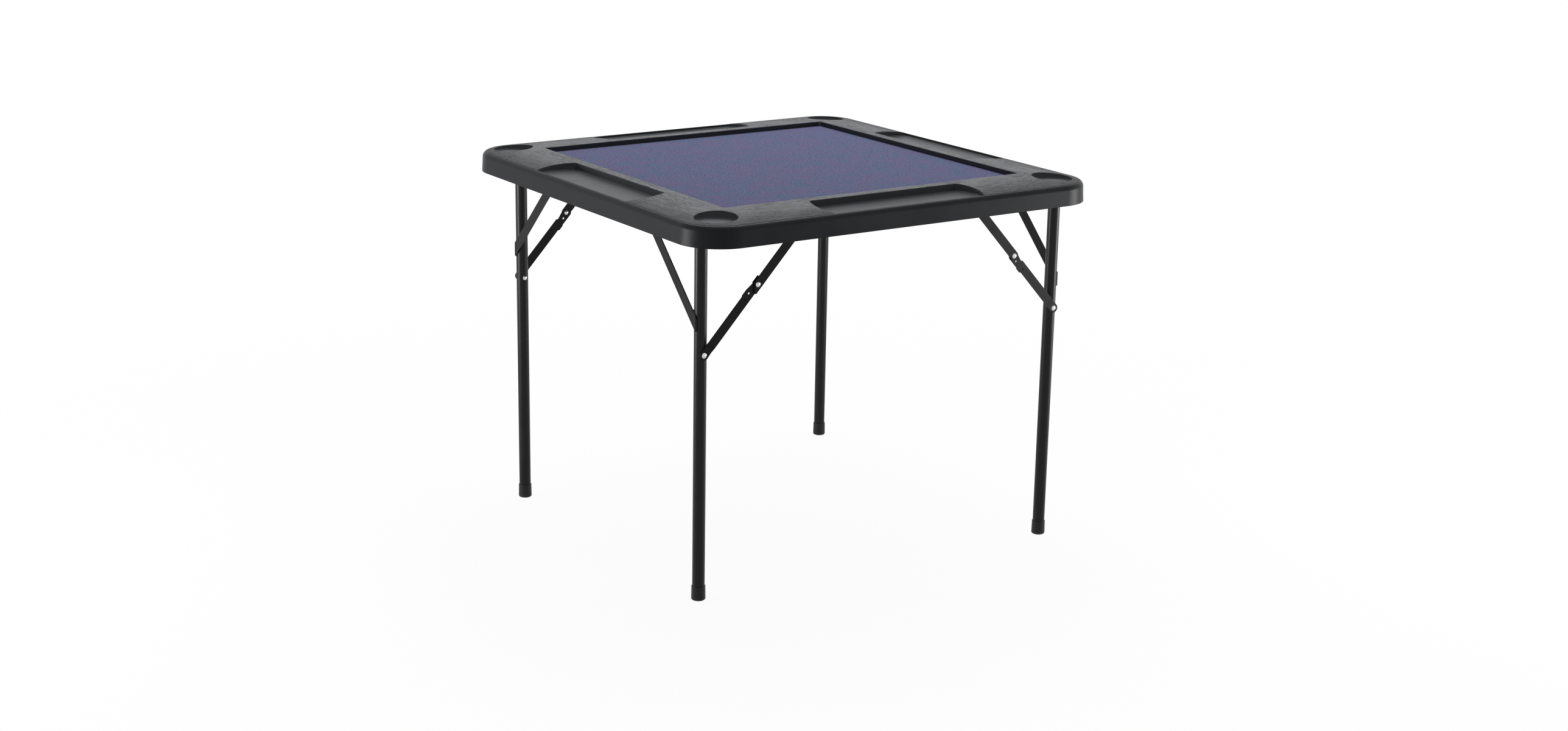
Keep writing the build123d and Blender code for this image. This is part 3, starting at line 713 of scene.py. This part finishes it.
def frame_welds(body, side, leg_line, pivot, material):
    """Beads of one leg frame: gussets to legs and cross tube, and legs to the cross tube."""
    points, edges = [], []
    low = pivot - GUSSET_DROP
    tail = low - GUSSET_TAIL
    head = pivot + GUSSET_RISE

    def lay(end, path):
        """A bead through places given as inward, height and reach."""
        first = len(points)
        edges.extend((first + step, first + step + 1) for step in range(len(path) - 1))
        for inward, height, reach in path:
            points.append((side * reach, end * (leg_line - inward), height))

    def leg_face(inward):
        return FRAME_REACH + math.sqrt(TUBE_RADIUS**2 - inward**2)

    def saddle(turn):
        """Where the leg runs into the cross tube, which is as thick."""
        across, along = TUBE_RADIUS * math.sin(turn), TUBE_RADIUS * math.cos(turn)
        return along, pivot - abs(along), FRAME_REACH + across

    for end in (-1, 1):
        inwards = [inward / 1000 for inward in EDGE_BEAD]
        for edge in (-GUSSET_HALF, GUSSET_HALF):
            lay(end, [(inward, low + edge + inward, leg_face(inward)) for inward in inwards])
        heights = [tail + GUSSET_HALF * tenth / 10 for tenth in TAIL_BEAD]
        reach = leg_face(GUSSET_TAIL) + BEAD_LIFT
        lay(end, [(-GUSSET_TAIL, height, reach) for height in heights])
        inwards = [head - low + GUSSET_HALF * tenth / 10 for tenth in HEAD_BEAD]
        reach = leg_face(GUSSET_RISE) + BEAD_LIFT
        lay(end, [(inward, head, reach) for inward in inwards])
        turns = [math.tau * step / SADDLE_STEPS for step in range(SADDLE_STEPS + 1)]
        lay(end, [saddle(turn) for turn in turns])
    mesh = weld_pattern(material).grow(points, edges)
    shade_smooth(mesh, SHARP_BEAD_EDGE)
    mesh_piece(body.replace("leg_frame", "weld_beads"), mesh, material, body)


# Floor, light and camera
def stage_floor():
    """Plain pale floor: white to the camera, with the table's soft shadow kept."""
    mesh = bpy.data.meshes.new("studio_floor")
    sides = [(-1, -1), (1, -1), (1, 1), (-1, 1)]
    corners = [(x * FLOOR_REACH, y * FLOOR_REACH, 0) for x, y in sides]
    mesh.from_pydata(corners, [], [(0, 1, 2, 3)])
    floor = bpy.data.objects.new("studio_floor", mesh)
    bpy.context.scene.collection.objects.link(floor)
    paint = bpy.data.materials.new("studio_floor")
    paint.use_nodes = True
    wires = Wiring(paint.node_tree)
    shader = paint.node_tree.nodes["Principled BSDF"]
    wires.feed(shader, "Base Color", FLOOR_GREY)
    wires.feed(shader, "Roughness", 0.9)
    wires.feed(shader, "Specular IOR Level", 0.0)
    glow = wires.node("ShaderNodeEmission", Color=WHITE, Strength=1.0)
    path = wires.node("ShaderNodeLightPath", None)
    seen = wires.calc("MAXIMUM", path.outputs["Is Camera Ray"], path.outputs["Is Glossy Ray"])
    place = wires.node("ShaderNodeTexCoord", "Object")
    away = wires.node("ShaderNodeVectorMath", "Value", settings={"operation": "LENGTH"}, i0=place)
    white = wires.node(
        "ShaderNodeMapRange",
        Value=away,
        From_Min=SHADOW_NEAR,
        From_Max=SHADOW_FAR,
        To_Min=WHITE_NEAR,
        To_Max=WHITE_FAR,
    )
    share = wires.times(seen, white)
    blend = wires.node("ShaderNodeMixShader", i0=share, i1=shader.outputs[0], i2=glow)
    wires.tree.links.new(blend, paint.node_tree.nodes["Material Output"].inputs[0])
    mesh.materials.append(paint)


def studio_world():
    """White to the camera, and a plain soft light from all around for the table."""
    world = bpy.data.worlds.new("studio")
    world.use_nodes = True
    bpy.context.scene.world = world
    wires = Wiring(world.node_tree)
    glow = world.node_tree.nodes["Background"]
    wires.feed(glow, "Color", WHITE)
    path = wires.node("ShaderNodeLightPath", None)
    seen = path.outputs["Is Camera Ray"]
    for kind in ("Is Glossy Ray", "Is Transmission Ray"):
        seen = wires.calc("MAXIMUM", seen, path.outputs[kind])
    wires.feed(glow, "Strength", wires.plus(wires.times(seen, 1.0 - SKY_LIGHT), SKY_LIGHT))


def lamp(name, place, target, width, height, watts):
    """Soft rectangular lamp aimed at a point."""
    light = bpy.data.lights.new(name, "AREA")
    light.shape = "RECTANGLE"
    light.size = width
    light.size_y = height
    light.energy = watts
    stand = bpy.data.objects.new(name, light)
    stand.location = place
    stand.rotation_euler = (Vector(target) - Vector(place)).to_track_quat("-Z", "Y").to_euler()
    bpy.context.scene.collection.objects.link(stand)


def photo_camera():
    """Camera at the photograph's viewing angle."""
    lens = bpy.data.cameras.new("photo_camera")
    lens.sensor_width = SENSOR_WIDTH
    lens.lens = CAMERA_FOCAL / PHOTO_WIDTH * SENSOR_WIDTH
    lens.clip_start, lens.clip_end = CLIP_NEAR, CLIP_FAR
    camera = bpy.data.objects.new("photo_camera", lens)
    ahead = Vector((math.sin(CAMERA_HEADING), math.cos(CAMERA_HEADING), 0))
    forward = ahead * math.cos(CAMERA_PITCH) - Vector((0, 0, math.sin(CAMERA_PITCH)))
    level = Vector((math.cos(CAMERA_HEADING), -math.sin(CAMERA_HEADING), 0))
    upright = level.cross(forward)
    right = level * math.cos(CAMERA_ROLL) + upright * math.sin(CAMERA_ROLL)
    up = upright * math.cos(CAMERA_ROLL) - level * math.sin(CAMERA_ROLL)
    facing = Matrix((right, up, -forward)).transposed().to_4x4()
    camera.matrix_world = Matrix.Translation(CAMERA_PLACE) @ facing
    bpy.context.scene.collection.objects.link(camera)
    bpy.context.scene.camera = camera


# The table, its finishes first
finishes = {
    "border_plastic": moulded_plastic(),
    "felt": felt_cloth_finish(),
    "black_steel": painted_steel("tube_paint", TUBE_GLOSS),
    "rivet_steel": bright_zinc(),
    "cap_plastic": cap_plastic(),
    "board_wood": hardboard(),
}
coat_solids(finishes, painted_steel("strip_paint", STRIP_GLOSS))

welded_border(finishes["border_plastic"])
cup_rims(finishes["border_plastic"])
felt_sheet(finishes["felt"])
rail_screws(finishes["rivet_steel"])
for body, (side, leg_line, pivot) in LEG_FRAMES.items():
    frame_welds(body, side, leg_line, pivot, finishes["black_steel"])

# The studio
stage_floor()
studio_world()
# The two windows stand below the table's top, so that the legs catch them and the crown doesn't
lamp("left_window", (-2.28, 0.66, 0.35), LEGS_MIDDLE, width=0.8, height=0.66, watts=28)
lamp("right_window", (1.75, -1.25, 0.35), LEGS_MIDDLE, width=0.8, height=0.66, watts=20)
lamp("overhead", (0.9, 1.1, 3.3), TABLE_MIDDLE, width=3.2, height=3.2, watts=92)
photo_camera()
bpy.context.scene.view_settings.view_transform = "Standard"
